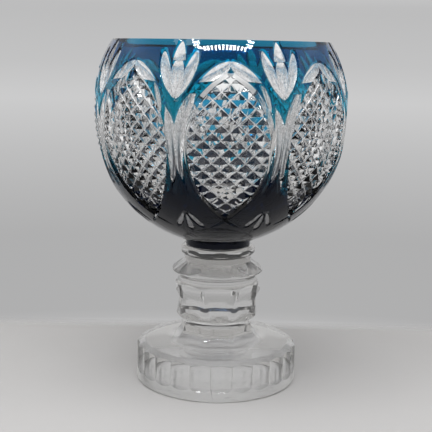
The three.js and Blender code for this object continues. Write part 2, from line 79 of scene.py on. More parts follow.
def turned(name, profile, steps=TURNED_STEPS, finish=None):
    """A turned solid from [radius, height] points that start and end on the axis."""
    points = []
    rings = []
    for radius, height in profile:
        if radius == 0:
            rings.append([len(points)] * steps)
            points.append((0, 0, height))
            continue
        rings.append(list(range(len(points), len(points) + steps)))
        for i in range(steps):
            turn = 2 * math.pi * i / steps
            points.append((radius * math.sin(turn), -radius * math.cos(turn), height))
    faces = []
    for lower, upper in zip(rings, rings[1:]):
        for i in range(steps):
            j = (i + 1) % steps
            corners = [lower[i], lower[j], upper[j], upper[i]]
            face = [corner for k, corner in enumerate(corners) if corner != corners[k - 1]]
            if len(face) > 2:
                faces.append(face)
    piece = mesh_piece(name, points, faces)
    if finish:
        piece.data.materials.append(finish)
    return piece


def arc(centre, radius, start, end, steps):
    """Points of an arc in the [radius, height] section, angles in radians."""
    return [
        (
            centre[0] + radius * math.cos(start + (end - start) * i / steps),
            centre[1] + radius * math.sin(start + (end - start) * i / steps),
        )
        for i in range(steps + 1)
    ]


def passes_tree():
    """One cut of a wheel repeated evenly round the axis, as the bowl is turned on the bench."""
    tree = bpy.data.node_groups.new("wheel_passes", "GeometryNodeTree")
    face = tree.interface
    face.new_socket("Cut", in_out="INPUT", socket_type="NodeSocketGeometry")
    face.new_socket("Passes", in_out="INPUT", socket_type="NodeSocketInt")
    face.new_socket("First Turn", in_out="INPUT", socket_type="NodeSocketFloat")
    face.new_socket("Finish", in_out="INPUT", socket_type="NodeSocketMaterial")
    face.new_socket("Cuts", in_out="OUTPUT", socket_type="NodeSocketGeometry")
    nodes, links = tree.nodes, tree.links
    inputs = nodes.new("NodeGroupInput")
    outputs = nodes.new("NodeGroupOutput")
    spots = nodes.new("GeometryNodePoints")
    index = nodes.new("GeometryNodeInputIndex")
    share = nodes.new("ShaderNodeMath")
    share.operation = "DIVIDE"
    turn = nodes.new("ShaderNodeMath")
    turn.operation = "MULTIPLY_ADD"
    turn.inputs[1].default_value = 2 * math.pi
    rotation = nodes.new("ShaderNodeCombineXYZ")
    place = nodes.new("GeometryNodeInstanceOnPoints")
    realise = nodes.new("GeometryNodeRealizeInstances")
    finish = nodes.new("GeometryNodeSetMaterial")
    links.new(inputs.outputs["Passes"], spots.inputs["Count"])
    links.new(index.outputs["Index"], share.inputs[0])
    links.new(inputs.outputs["Passes"], share.inputs[1])
    links.new(share.outputs[0], turn.inputs[0])
    links.new(inputs.outputs["First Turn"], turn.inputs[2])
    links.new(turn.outputs[0], rotation.inputs["Z"])
    links.new(spots.outputs[0], place.inputs["Points"])
    links.new(inputs.outputs["Cut"], place.inputs["Instance"])
    links.new(rotation.outputs[0], place.inputs["Rotation"])
    links.new(place.outputs[0], realise.inputs[0])
    links.new(realise.outputs[0], finish.inputs["Geometry"])
    links.new(inputs.outputs["Finish"], finish.inputs["Material"])
    links.new(finish.outputs[0], outputs.inputs["Cuts"])
    return tree


def applied(piece):
    """The piece's mesh as its modifiers leave it, with the modifiers gone."""
    evaluated = piece.evaluated_get(bpy.context.evaluated_depsgraph_get())
    result = bpy.data.meshes.new_from_object(evaluated)
    piece.modifiers.clear()
    piece.data = result
    return piece


def round_the_axis(cut, passes, first_turn, finish):
    """The cut's copies round the axis, in one mesh."""
    repeat = cut.modifiers.new("wheel_passes", "NODES")
    repeat.node_group = PASSES
    sockets = {item.name: item.identifier for item in PASSES.interface.items_tree}
    repeat[sockets["Passes"]] = passes
    repeat[sockets["First Turn"]] = first_turn
    repeat[sockets["Finish"]] = finish
    return applied(cut)


def ground(piece, cut, operation="DIFFERENCE"):
    """The piece with the cut ground out of it."""
    grind = piece.modifiers.new("grind", "BOOLEAN")
    grind.operation = operation
    grind.solver = "MANIFOLD"
    grind.material_mode = "TRANSFER"
    grind.object = cut
    applied(piece)
    bpy.data.objects.remove(cut)
    return piece


def polished(piece, crease_degrees=20):
    """Rounds the shading between facets that meet at less than the crease angle."""
    for polygon in piece.data.polygons:
        polygon.use_smooth = True
    piece.data.set_sharp_from_angle(angle=math.radians(crease_degrees))


def value_of(nodes, kind, **settings):
    """A new node of this kind with these socket values, by socket name."""
    node = nodes.new(kind)
    for socket, value in settings.items():
        node.inputs[socket.replace("_", " ")].default_value = value
    return node


def clear_crystal(tint):
    """Lead crystal: nearly colourless, faintly uneven from the polishing, with a trace of haze."""
    material = bpy.data.materials.new("clear_crystal")
    material.use_nodes = True
    nodes, links = material.node_tree.nodes, material.node_tree.links
    glass = nodes["Principled BSDF"]
    glass.inputs["Base Color"].default_value = tint
    glass.inputs["Transmission Weight"].default_value = 1
    glass.inputs["IOR"].default_value = 1.54
    place = nodes.new("ShaderNodeTexCoord")
    haze = value_of(nodes, "ShaderNodeTexNoise", Scale=90, Detail=3)
    rough = value_of(nodes, "ShaderNodeMapRange", From_Min=0.55, From_Max=0.8, To_Max=0.04)
    wave = value_of(nodes, "ShaderNodeTexNoise", Scale=38, Detail=1)
    bump = value_of(nodes, "ShaderNodeBump", Strength=0.03, Distance=0.002)
    links.new(place.outputs["Object"], haze.inputs["Vector"])
    links.new(haze.outputs["Fac"], rough.inputs["Value"])
    links.new(rough.outputs[0], glass.inputs["Roughness"])
    links.new(place.outputs["Object"], wave.inputs["Vector"])
    links.new(wave.outputs["Fac"], bump.inputs["Height"])
    links.new(bump.outputs[0], glass.inputs["Normal"])
    return material


def fused_face():
    """A face where two gathers of the same crystal are fused: nothing shows there."""
    material = bpy.data.materials.new("fused_face")
    material.use_nodes = True
    nodes, links = material.node_tree.nodes, material.node_tree.links
    nodes.remove(nodes["Principled BSDF"])
    through = nodes.new("ShaderNodeBsdfTransparent")
    links.new(through.outputs[0], nodes["Material Output"].inputs["Surface"])
    return material


def fuse(piece, is_fused, material):
    """Gives the faces whose middle passes the test this material, after the clear crystal."""
    piece.data.materials.append(material)
    slot_index = len(piece.data.materials) - 1
    for polygon in piece.data.polygons:
        if is_fused(polygon.center / MM, polygon):
            polygon.material_index = slot_index


PASSES = passes_tree()
THICK_CRYSTAL = clear_crystal((0.82, 0.817, 0.81, 1))
THICK_CRYSTAL.node_tree.nodes["Principled BSDF"].inputs["Transmission Weight"].default_value = 0.91
MATT_UNDERSIDE = THICK_CRYSTAL.copy()
MATT_UNDERSIDE.name = "matt_underside"
for node in MATT_UNDERSIDE.node_tree.nodes:
    if node.type == "MAP_RANGE":
        node.inputs["To Min"].default_value = 0.28
        node.inputs["To Max"].default_value = 0.48
FUSED = fused_face()
foot_shoulder = FOOT_SIDE_HEIGHT + FOOT_BEVEL_RISE
flare_foot = foot_shoulder + FOOT_TOP_SLOPE
neck_corner = NECK_RADIUS / math.cos(math.pi / FLARE_PANELS)


def neck_flare(steps=24):
    """The neck: its eight ground panels run out as it flares onto the foot's top."""
    points = [(0, 0, FOOT_SIDE_HEIGHT)]
    rings = []
    for k in range(-1, steps + 1):
        turn = math.pi / 2 * max(0, k) / steps
        corner = FLARE_RADIUS - (FLARE_RADIUS - neck_corner) * math.sin(turn)
        height = FOOT_SIDE_HEIGHT
        if k >= 0:
            height = NECK_HEIGHT - (NECK_HEIGHT - flare_foot) * math.cos(turn)
        flatness = min(1, 2 * turn / math.pi * PANEL_RUN_OUT)
        rings.append(list(range(len(points), len(points) + TURNED_STEPS)))
        for i in range(TURNED_STEPS):
            azimuth = 2 * math.pi * i / TURNED_STEPS
            panel = 2 * math.pi / FLARE_PANELS
            off_middle = (azimuth + panel / 2) % panel - panel / 2
            radius = corner * (math.cos(panel / 2) / math.cos(off_middle)) ** flatness
            points.append((radius * math.sin(azimuth), -radius * math.cos(azimuth), height))
    points.append((0, 0, NECK_HEIGHT))
    faces = []
    for i in range(TURNED_STEPS):
        j = (i + 1) % TURNED_STEPS
        faces += [(0, rings[0][j], rings[0][i]), (len(points) - 1, rings[-1][i], rings[-1][j])]
        for lower, upper in zip(rings, rings[1:]):
            faces.append((lower[i], lower[j], upper[j], upper[i]))
    return mesh_piece("neck", points, faces)


foot = turned(
    "foot_drum",
    [
        (0, 0),
        (FOOT_RADIUS - FOOT_EDGE_CHAMFER - FOOT_ROUNDING, 0),
        (FOOT_RADIUS - FOOT_EDGE_CHAMFER, 0.1),
        (FOOT_RADIUS, FOOT_EDGE_CHAMFER),
        (FOOT_RADIUS, FOOT_SIDE_HEIGHT),
        (FOOT_RADIUS - FOOT_BEVEL_WIDTH, foot_shoulder),
        (FLARE_RADIUS, flare_foot),
        (0, flare_foot),
    ],
)
flute_profile = arc((0, 0), FLUTE_WHEEL_RADIUS, -math.pi / 2, 0, 16)
run_out_rise = FLUTE_RUN_OUT / FLUTE_WHEEL_RADIUS
flute_profile = [(r, FLUTE_STOP + FLUTE_RUN_OUT + z * run_out_rise) for r, z in flute_profile]
flute_profile[0] = (0, FLUTE_STOP)
flute_profile += [(FLUTE_WHEEL_RADIUS, FLUTE_WHEEL_TOP), (0, FLUTE_WHEEL_TOP)]
flute = turned("flute", flute_profile, 96)
flute_axis = FOOT_RADIUS + FLUTE_WHEEL_RADIUS - FLUTE_SINK
flute.data.transform(Matrix.Translation((0, -flute_axis * MM, 0)))
ground(foot, round_the_axis(flute, FOOT_FLUTES, 0, THICK_CRYSTAL))
ground(foot, neck_flare(), "UNION")
foot.data.materials.clear()
foot.data.materials.append(THICK_CRYSTAL)
polished(foot)
fuse(foot, lambda at, face: at.z > NECK_HEIGHT - 0.01, FUSED)
fuse(foot, lambda at, face: at.z < 0.06, MATT_UNDERSIDE)
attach(foot, "root")
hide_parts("foot")

# Stem: the solid clear stalk between foot and bowl, with a drum of sixteen flat panels and two
# sharp rings. It is drawn with the foot and cut while cold, and the upper ring is thumbed.
NECK_SWELL = 1.5
DRUM_RADIUS = 29.3
DRUM_UNDERCUT = 5.5
DRUM_HEIGHT = 14
DRUM_PANELS = 16
DRUM_PANEL_STOP = 1
LOWER_RING_RADIUS = 32.1
LOWER_RING_RISE = 6.5
WAIST_RADIUS = 28.4
WAIST_RISE = 7
UPPER_RING_RADIUS = 32.6
UPPER_RING_RISE = 6
RING_EDGE = 0.8
STEM_TOP_RADIUS = 24.2
STEM_TOP_RISE = 7
RING_FACETS = 8
RING_FACET_SINK = 1.3
ARCH_SINK = 1.8
ARCH_WHEEL_RADIUS = 40
ARCH_WHEEL_WIDTH = 22
WAIST_ROUNDING = 4
STONE_THICKNESS = 12


def wheel_disc(name, radius, reach, height, width, lean=0):
    """A broad wheel, as a lying cylinder that reaches in to this distance from the axis."""
    half = width / 2
    disc = turned(name, [(0, -half), (radius, -half), (radius, half), (0, half)], 128)
    disc.data.transform(Matrix.Rotation(math.pi / 2, 4, "Y"))
    disc.data.transform(Matrix.Translation((0, -radius * MM, 0)))
    disc.data.transform(Matrix.Rotation(-lean, 4, "X"))
    disc.data.transform(Matrix.Translation((0, -reach * MM, height * MM)))
    return disc


def flat_stone(name, width, height, reach, middle, lean=0):
    """A flat grinding stone whose inner face stands at this distance from the axis."""
    points = []
    for x in (-1, 1):
        for y in (-1, 0):
            points += [(x * width / 2, y * STONE_THICKNESS, z * height / 2) for z in (-1, 1)]
    faces = [(0, 1, 3, 2), (4, 6, 7, 5), (0, 4, 5, 1), (2, 3, 7, 6), (0, 2, 6, 4), (1, 5, 7, 3)]
    stone = mesh_piece(name, points, faces)
    stone.data.transform(Matrix.Rotation(-lean, 4, "X"))
    stone.data.transform(Matrix.Translation((0, -reach * MM, middle * MM)))
    return stone


drum_floor = NECK_HEIGHT + DRUM_UNDERCUT
drum_top = drum_floor + DRUM_HEIGHT
drum_middle = drum_floor + DRUM_HEIGHT / 2
lower_ring = drum_top + LOWER_RING_RISE
waist = lower_ring + WAIST_RISE
upper_ring = waist + UPPER_RING_RISE
stem_top = upper_ring + STEM_TOP_RISE
waist_centre = (WAIST_RADIUS + WAIST_ROUNDING, waist)
stem = turned(
    "stem_rings",
    [
        (0, NECK_HEIGHT),
        (NECK_RADIUS, NECK_HEIGHT),
        (NECK_RADIUS + NECK_SWELL, NECK_HEIGHT + DRUM_UNDERCUT / 2),
        (DRUM_RADIUS, drum_floor),
        (DRUM_RADIUS, drum_top),
        (LOWER_RING_RADIUS, lower_ring - RING_EDGE),
        (LOWER_RING_RADIUS, lower_ring + RING_EDGE),
        *arc(waist_centre, WAIST_ROUNDING, math.radians(220), math.radians(140), 8),
        (UPPER_RING_RADIUS, upper_ring - RING_EDGE),
        (UPPER_RING_RADIUS, upper_ring + RING_EDGE),
        (STEM_TOP_RADIUS, stem_top),
        (0, stem_top),
    ],
)
slope_rise = stem_top - upper_ring - RING_EDGE
slope_run = UPPER_RING_RADIUS - STEM_TOP_RADIUS
slope_middle = upper_ring + RING_EDGE + slope_rise / 2
thumb_lean = math.atan2(slope_run, slope_rise)
ring_width = 2 * UPPER_RING_RADIUS
panel_reach = DRUM_RADIUS * math.cos(math.pi / DRUM_PANELS)
panel_middle = drum_middle - DRUM_PANEL_STOP
drum_panel = flat_stone("drum_panel", ring_width, DRUM_HEIGHT, panel_reach, panel_middle)
ground(stem, round_the_axis(drum_panel, DRUM_PANELS, math.pi / DRUM_PANELS, THICK_CRYSTAL))
arch_height = (lower_ring + drum_middle) / 2 - RING_EDGE
arch_reach = DRUM_RADIUS - ARCH_SINK
arch = wheel_disc("arch", ARCH_WHEEL_RADIUS, arch_reach, arch_height, ARCH_WHEEL_WIDTH)
ground(stem, round_the_axis(arch, RING_FACETS, 0, THICK_CRYSTAL))
thumb_reach = (UPPER_RING_RADIUS + STEM_TOP_RADIUS) / 2 - RING_FACET_SINK
thumb = flat_stone("thumb", ring_width, 3 * slope_rise, thumb_reach, slope_middle, thumb_lean)
ground(stem, round_the_axis(thumb, RING_FACETS, 0, THICK_CRYSTAL))
stem.data.materials.clear()
stem.data.materials.append(THICK_CRYSTAL)
polished(stem)
fuse(stem, lambda at, face: at.z < NECK_HEIGHT + 0.01 or at.z > stem_top - 0.01, FUSED)
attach(stem, "root")
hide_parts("stem")

# Collar: the rounded clear disc that the bowl is fused to, with a shallow thumb flat ground
# under each panel of diamonds.
COLLAR_RADIUS = 27.2
COLLAR_BELLY_RISE = 8
COLLAR_SHOULDER = 3
COLLAR_COVE = 0.4
COLLAR_LEDGE = 1.2
COLLAR_ROUNDING = 3
COLLAR_ROUNDING_DROP = 0.5
COLLAR_FACET_SINK = 0.9
COLLAR_FACET_DROP = 2
COLLAR_WHEEL_RADIUS = 30
COLLAR_WHEEL_WIDTH = 24
SEAT_EDGE = 1
SEAT_SINK = 8.3
SEAT_GAP = 0.05
PANELS = 8
collar_belly = stem_top + COLLAR_BELLY_RISE
bowl_floor = collar_belly + COLLAR_SHOULDER
BASE_RADIUS = 23.2


def seat(radius, sink, steps=12):
    """The rounded seat that the bowl's bottom is fused into, in section, from the edge inwards."""
    points = []
    for i in range(steps + 1):
        turn = math.pi / 2 * i / steps
        reach = radius * math.cos(turn) if i < steps else 0
        points.append((reach, bowl_floor - sink * math.sin(turn)))
    return points


collar_centre = (COLLAR_RADIUS - COLLAR_ROUNDING, collar_belly - COLLAR_ROUNDING_DROP)
collar = turned(
    "collar_ring",
    [
        (0, stem_top),
        (STEM_TOP_RADIUS, stem_top),
        (STEM_TOP_RADIUS + COLLAR_COVE, stem_top + COLLAR_BELLY_RISE / 2),
        *arc(collar_centre, COLLAR_ROUNDING, math.radians(-50), math.radians(60), 12),
        (BASE_RADIUS + COLLAR_LEDGE, bowl_floor),
        *seat(BASE_RADIUS - SEAT_EDGE, SEAT_SINK),
    ],
)
collar_flat = wheel_disc(
    "collar_flat",
    COLLAR_WHEEL_RADIUS,
    COLLAR_RADIUS - COLLAR_FACET_SINK,
    collar_belly - COLLAR_FACET_DROP,
    COLLAR_WHEEL_WIDTH,
)
ground(collar, round_the_axis(collar_flat, PANELS, 0, THICK_CRYSTAL))
collar.data.materials.clear()
collar.data.materials.append(THICK_CRYSTAL)
polished(collar)


def under_bowl(at, face):
    """True on the collar's seat and on its underside, which are fused to what they touch."""
    return at.z < stem_top + 0.01 or math.hypot(at.x, at.y) < BASE_RADIUS - SEAT_EDGE + 0.1


fuse(collar, under_bowl, FUSED)
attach(collar, "root")
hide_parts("collar")

# Bowl: the thick clear gather under the blue casing, blown nearly round with an open mouth and
# a flat polished rim. Its panels of relief diamonds, borders, leaves and fans are cut by wheels.
BELLY_RADIUS = 90
PROFILE_RADIUS = 94
RIM_ABOVE_BELLY = 50
BASE_HEIGHT = 4
WALL = 8.5
BOTTOM_THICKENING = 4
CASING = 0.7
FUSION_GAP = 0.05
RIM_BEVEL = 0.8
LIP_HEIGHT = 18
LIP_THICKENING = 0.85
BOWL_STEPS = 256
ABOVE = 1.5
FIELD_TOP = 29.8
FIELD_BOTTOM = -72.3
BORDER_DEPTH = 4.2
BORDER_SPREAD = 0.62
BORDER_EASE = 2.2
DIAMOND_COLUMNS = 8
DIAMOND_WIDTH = 11.2
DIAMOND_HEIGHT = 10.4
DIAMOND_RELIEF = 2.5
DIAMOND_TIP_SINK = 1.6
GROOVE_EXTRA = 0.1
GROOVE_EDGE_RADIUS = 0.22
profile_inset = PROFILE_RADIUS - BELLY_RADIUS
base_angle = -math.acos((BASE_RADIUS + profile_inset) / PROFILE_RADIUS)
belly_height = bowl_floor + BASE_HEIGHT - PROFILE_RADIUS * math.sin(base_angle)
rim_height = belly_height + RIM_ABOVE_BELLY
rim_along = PROFILE_RADIUS * math.asin(RIM_ABOVE_BELLY / PROFILE_RADIUS)
diamond_rows = math.ceil(2 * (FIELD_TOP - FIELD_BOTTOM) / DIAMOND_HEIGHT) + 1


def on_bowl(across, up, depth):
    """A point over the bowl: mm across and up along its outside, and this deep below it."""
    rise = up / PROFILE_RADIUS
    azimuth = across / (PROFILE_RADIUS * math.cos(rise) - profile_inset)
    reach = PROFILE_RADIUS - depth
    radius = reach * math.cos(rise) - profile_inset
    height = belly_height + reach * math.sin(rise)
    return (radius * math.sin(azimuth), -radius * math.cos(azimuth), height)


def outside(depth, steps=88, past_rim=0):
    """The bowl's outside in section, this deep in the wall, from the base to the rim or past it."""
    radius = PROFILE_RADIUS - depth
    low = -math.acos((BASE_RADIUS - depth + profile_inset) / radius)
    high = math.asin((RIM_ABOVE_BELLY + past_rim) / radius)
    round_side = arc((-profile_inset, belly_height), radius, low, high, steps)
    return [(BASE_RADIUS - depth, bowl_floor), *round_side]


def hollow_section(steps=120):
    """The hollow in section, from the rim to the axis."""
    radius = PROFILE_RADIUS - WALL
    centre = (-profile_inset, belly_height + BOTTOM_THICKENING)
    high = math.asin((RIM_ABOVE_BELLY - BOTTOM_THICKENING) / radius)
    points = arc(centre, radius, high, -math.acos(profile_inset / radius), steps)
    lip_foot = rim_height - LIP_HEIGHT
    points = [(r - LIP_THICKENING * max(0, (z - lip_foot) / LIP_HEIGHT) ** 2, z) for r, z in points]
    rim_radius = points[0][0]
    lip = [(rim_radius + RIM_BEVEL, rim_height), (rim_radius, rim_height - RIM_BEVEL)]
    return [*lip, *points[1:-1], (0, points[-1][1])]


def mitre(spread):
    """The section of a V-edged wheel at this depth: points of [aside, depth]."""
    def section(depth):
        half = spread * (depth + ABOVE)
        return [(-half, -ABOVE), (0, depth), (half, -ABOVE)]
    return section


def hollow(wheel_radius, facets=8):
    """The section of a wheel with a rounded edge at this depth."""
    def section(depth):
        half = math.sqrt(2 * wheel_radius * (depth + ABOVE))
        asides = [half * (2 * i / facets - 1) for i in range(facets + 1)]
        return [(aside, depth - aside ** 2 / (2 * wheel_radius)) for aside in asides]
    return section


def bezier(*pulls):
    """A Bezier line over the bowl through these control points."""
    def line(t):
        points = [Vector(pull) for pull in pulls]
        while len(points) > 1:
            points = [a.lerp(b, t) for a, b in zip(points, points[1:])]
        return points[0]
    return line


def stroke(name, line, depth, section, steps=24, side=1, start=0, end=1, slant=0):
    """One stroke of a wheel along a line over the bowl, depth(t) deep, its far end slanted."""
    points = []
    for i in range(steps + 1):
        share = i / steps
        t = start + (end - start) * share
        at = line(t)
        along = (line(t + 0.01) - line(t - 0.01)).normalized()
        lead = slant * max(0, 2 * share - 1)
        for aside, deep in section(depth(share)):
            across = at.x - along.y * aside + along.x * lead * aside
            up = at.y + along.x * aside + along.y * lead * aside
            points.append(on_bowl(side * across, up, deep))
    count = len(points) // (steps + 1)
    faces = [tuple(range(count)), tuple(range(steps * count, (steps + 1) * count))]
    for i in range(0, steps * count, count):
        for j in range(count):
            k = (j + 1) % count
            faces.append((i + j, i + k, i + count + k, i + count + j))
    return mesh_piece(name, points, faces)


def diamond_spot(column, row):
    """Where the grooves of a panel cross, in mm across and up; every other one is a tip."""
    return column * DIAMOND_WIDTH / 2, FIELD_TOP - row * DIAMOND_HEIGHT / 2


def diamond_blanket():
    """What lies above the relief diamonds of one panel, before it is cut to the border."""
    columns, rows = DIAMOND_COLUMNS, diamond_rows
    spots = []
    for row in range(-1, rows + 1):
        spots += [(column, row) for column in range(-columns, columns + 1)]
    known = {spot: i for i, spot in enumerate(spots)}
    points = []
    for column, row in spots:
        relief = 0 if (column + row) % 2 == 0 else DIAMOND_RELIEF
        points.append(on_bowl(*diamond_spot(column, row), DIAMOND_TIP_SINK + relief))
    lid = len(points)
    points += [on_bowl(*diamond_spot(*spot), -ABOVE - 2) for spot in spots]
    faces = []
    for row in range(-1, rows):
        for column in range(-columns, columns):
            a, b = known[column, row], known[column + 1, row]
            c, d = known[column + 1, row + 1], known[column, row + 1]
            if (column + row) % 2 == 0:
                faces += [(a, b, d), (b, c, d)]
                faces += [(a + lid, b + lid, d + lid), (b + lid, c + lid, d + lid)]
            else:
                faces += [(a, b, c), (a, c, d)]
                faces += [(a + lid, b + lid, c + lid), (a + lid, c + lid, d + lid)]
    edge = [known[column, -1] for column in range(-columns, columns + 1)]
    edge += [known[columns, row] for row in range(0, rows + 1)]
    edge += [known[column, rows] for column in range(columns - 1, -columns - 1, -1)]
    edge += [known[-columns, row] for row in range(rows - 1, -1, -1)]
    for a, b in zip(edge, edge[1:] + edge[:1]):
        faces.append((a, b, b + lid, a + lid))
    return mesh_piece("diamonds", points, faces)


def groove_bottoms(lean):
    """The bottoms of one family of grooves, where the wheel's rounded edge leaves a pale line."""
    columns, rows = DIAMOND_COLUMNS, diamond_rows
    depth = DIAMOND_TIP_SINK + DIAMOND_RELIEF + GROOVE_EXTRA
    lines = []
    for first in range(-columns - rows, columns + rows + 1):
        if first % 2 == 0:
            continue
        crossed = [row for row in range(rows + 1) if abs(first + lean * row) <= columns]
        if len(crossed) < 3:
            continue

        def line(t):
            row = crossed[0] + (crossed[-1] - crossed[0]) * t
            return Vector(diamond_spot(first + lean * row, row))

        edge = hollow(GROOVE_EDGE_RADIUS)
        lines.append(stroke("groove", line, lambda share: depth, edge, len(crossed)))
    return joined("groove_bottoms", lines)


def joined(name, pieces):
    """One piece from several, which are used up."""
    whole = bmesh.new()
    for piece in pieces:
        whole.from_mesh(piece.data)
        bpy.data.objects.remove(piece)
    mesh = bpy.data.meshes.new(name)
    whole.to_mesh(mesh)
    whole.free()
    piece = bpy.data.objects.new(name, mesh)
    bpy.context.collection.objects.link(piece)
    return piece


def field_prism(inset=0):
    """All that lies inside the middle line of a panel's border, far in and out."""
    steps = 48
    right = [border_line(i / steps) for i in range(steps + 1)]
    scale = 1 - inset / max(p.x for p in right)
    middle = (FIELD_TOP + FIELD_BOTTOM) / 2
    right = [Vector((p.x * scale, middle + (p.y - middle) * scale)) for p in right]
    loop = [(p.x, p.y) for p in right] + [(-p.x, p.y) for p in reversed(right[1:-1])]
    points = [on_bowl(x, y, depth) for depth in (20, -30) for x, y in loop]
    points += [on_bowl(0, middle, 20), on_bowl(0, middle, -30)]
    count = len(loop)
    faces = []
    for i in range(count):
        j = (i + 1) % count
        faces.append((i, j, j + count, i + count))
        faces += [(2 * count, j, i), (2 * count + 1, i + count, j + count)]
    return mesh_piece("field", points, faces)


border_line = bezier((0, FIELD_TOP), (36, 9), (37.5, -33), (0, FIELD_BOTTOM))
BORDER_TAIL = 0.085
BORDER_TOP_TAIL = 0.012


def border_depth(share):
    """The border's depth: full over the field, lighter below, run out past the crossings."""
    ends = min(share / 0.02, (1 - share) / 0.05, 1)
    lighter = min(1, max(0, (share - 0.36) / 0.26))
    return -0.3 + (BORDER_DEPTH + 0.3 - BORDER_EASE * lighter) * ends ** 0.5


def leaf(widest, wheel_radius, peak=0.5, run=0.03, stop=1, fullness=0.72):
    """A leaf's depth for this half width of clear glass; a stop short of 1 leaves it blunt."""
    def at(share):
        share *= stop
        rising = share < peak or peak == 1
        along = share if rising else 1 - share
        if along < run:
            return -0.3 + (CASING + 0.3) * along / run
        to_peak = (along - run) / ((peak if rising else 1 - peak) - run)
        half = widest * math.sin(math.pi / 2 * to_peak) ** fullness
        return CASING + half ** 2 / (2 * wheel_radius)
    return at


BROW = bezier((-0.7, 38.4), (2.6, 34.7), (8.9, 30.8), (14.8, 24.8))
LEFT_CRESCENT = bezier((23.5, -50), (35.6, -29), (35.2, -3), (23.4, 17.5))
RIGHT_CRESCENT = bezier((23.5, -50), (35.6, -29), (35.2, -3), (27.5, 12))
SMALL_LEAF = bezier((18.6, 24.6), (23.5, 17), (26.2, 4.5))
FAN_LEAF = bezier((-0.9, 12.6), (8.8, 26.5), (11.3, 47.2))
FAN_SPINE = bezier((0, 14), (0, 26), (0, 42))
FAN_MIDDLE = bezier((0, 38.2), (0, 44), (0, rim_along + 0.6))
BASE_LOBE = bezier((0.3, -63.5), (4, -71), (9.8, -83))
BASE_MIDDLE = bezier((0, -64), (0, -76), (0, -87))


def decoration():
    """Every cut once round the bowl, in the order in which it is made."""
    field = ground(diamond_blanket(), field_prism(), "INTERSECT")
    cuts = [(field, 0)]
    edges = [ground(groove_bottoms(lean), field_prism(1.8), "INTERSECT") for lean in (1, -1)]
    border = mitre(BORDER_SPREAD)
    for side in (1, -1):
        ends = (-BORDER_TOP_TAIL, 1 + BORDER_TAIL)
        line = stroke("border", border_line, border_depth, border, 48, side, *ends)
        cuts.append((line, 0))
    leaves = []
    for side in (1, -1):
        brow = leaf(4.1, 4.8, peak=0.45, run=0.02, stop=0.7)
        leaves.append((stroke("brow", BROW, brow, hollow(4.8), 28, side, slant=1.2), 0))
    left = leaf(4.3, 7, peak=0.66, stop=0.87, fullness=1.15)
    right = leaf(3.9, 7, peak=0.62, fullness=1.15)
    satin = [(stroke("crescent", LEFT_CRESCENT, left, hollow(7), 32, -1, slant=0.5), 0)]
    satin.append((stroke("crescent", RIGHT_CRESCENT, right, hollow(7), 32, 1), 0))
    satin.append((stroke("small_leaf", SMALL_LEAF, leaf(1.7, 3), hollow(3), 16, 1), 0))
    half_panel = math.pi / PANELS
    for side in (1, -1):
        lobe = leaf(3.5, 4.6, peak=0.6)
        leaves.append((stroke("fan", FAN_LEAF, lobe, hollow(4.6), 28, side), half_panel))
    spine = leaf(4.3, 4.5, peak=0.62)
    leaves.append((stroke("fan", FAN_SPINE, spine, hollow(4.5), 24), half_panel))
    middle = leaf(4.1, 5, peak=0, run=0.05)
    leaves.append((stroke("fan", FAN_MIDDLE, middle, hollow(5), 20), half_panel))
    lobe = leaf(1.7, 2, peak=0.8, run=0.1)
    for side in (1, -1):
        leaves.append((stroke("base_fan", BASE_LOBE, lobe, hollow(2), 16, side), half_panel))
    lobe = leaf(1.9, 2, peak=0.8, run=0.1)
    leaves.append((stroke("base_fan", BASE_MIDDLE, lobe, hollow(2), 16), half_panel))
    wheels = [round_the_axis(cut, PANELS, turn, CRYSTAL) for cut, turn in cuts]
    wheels += [round_the_axis(cut, PANELS, 0, GROOVE_EDGE) for cut in edges]
    wheels += [round_the_axis(cut, PANELS, turn, SATIN_CUT) for cut, turn in satin]
    return wheels + [round_the_axis(cut, PANELS, turn, SOFT_CUT) for cut, turn in leaves]


def soft_cut(name, transmission, smoothest, roughest):
    """A cut face as the fine wheel and the acid leave it: it scatters light and looks white."""
    material = CRYSTAL.copy()
    material.name = name
    nodes, links = material.node_tree.nodes, material.node_tree.links
    glass = nodes["Principled BSDF"]
    glass.inputs["Transmission Weight"].default_value = transmission
    for node in nodes:
        if node.type == "MAP_RANGE":
            node.inputs["From Min"].default_value = 0.35
            node.inputs["To Min"].default_value = smoothest
            node.inputs["To Max"].default_value = roughest
        if node.type == "BUMP":
            node.inputs["Strength"].default_value = 0.12
    flecks = value_of(nodes, "ShaderNodeTexNoise", Scale=520, Detail=3)
    tone = nodes.new("ShaderNodeValToRGB")
    tone.color_ramp.elements[0].position = 0.35
    tone.color_ramp.elements[0].color = (0.6, 0.6, 0.6, 1)
    tone.color_ramp.elements[1].position = 0.62
    tone.color_ramp.elements[1].color = (0.94, 0.935, 0.925, 1)
    place = nodes["Texture Coordinate"]
    links.new(place.outputs["Object"], flecks.inputs["Vector"])
    links.new(flecks.outputs["Fac"], tone.inputs["Fac"])
    links.new(tone.outputs["Color"], glass.inputs["Base Color"])
    return material


def base_tint():
    """The casing where it wraps under the bowl: so dark that little light passes to the stem."""
    material = FUSED.copy()
    material.name = "base_tint"
    nodes, links = material.node_tree.nodes, material.node_tree.links
    place = nodes.new("ShaderNodeTexCoord")
    noise = value_of(nodes, "ShaderNodeTexNoise", Scale=40)
    tone = nodes.new("ShaderNodeValToRGB")
    tone.color_ramp.elements[0].color = (0.01, 0.02, 0.04, 1)
    tone.color_ramp.elements[1].color = (0.03, 0.05, 0.09, 1)
    links.new(place.outputs["Object"], noise.inputs["Vector"])
    links.new(noise.outputs["Fac"], tone.inputs["Fac"])
    links.new(tone.outputs["Color"], nodes["Transparent BSDF"].inputs["Color"])
    return material


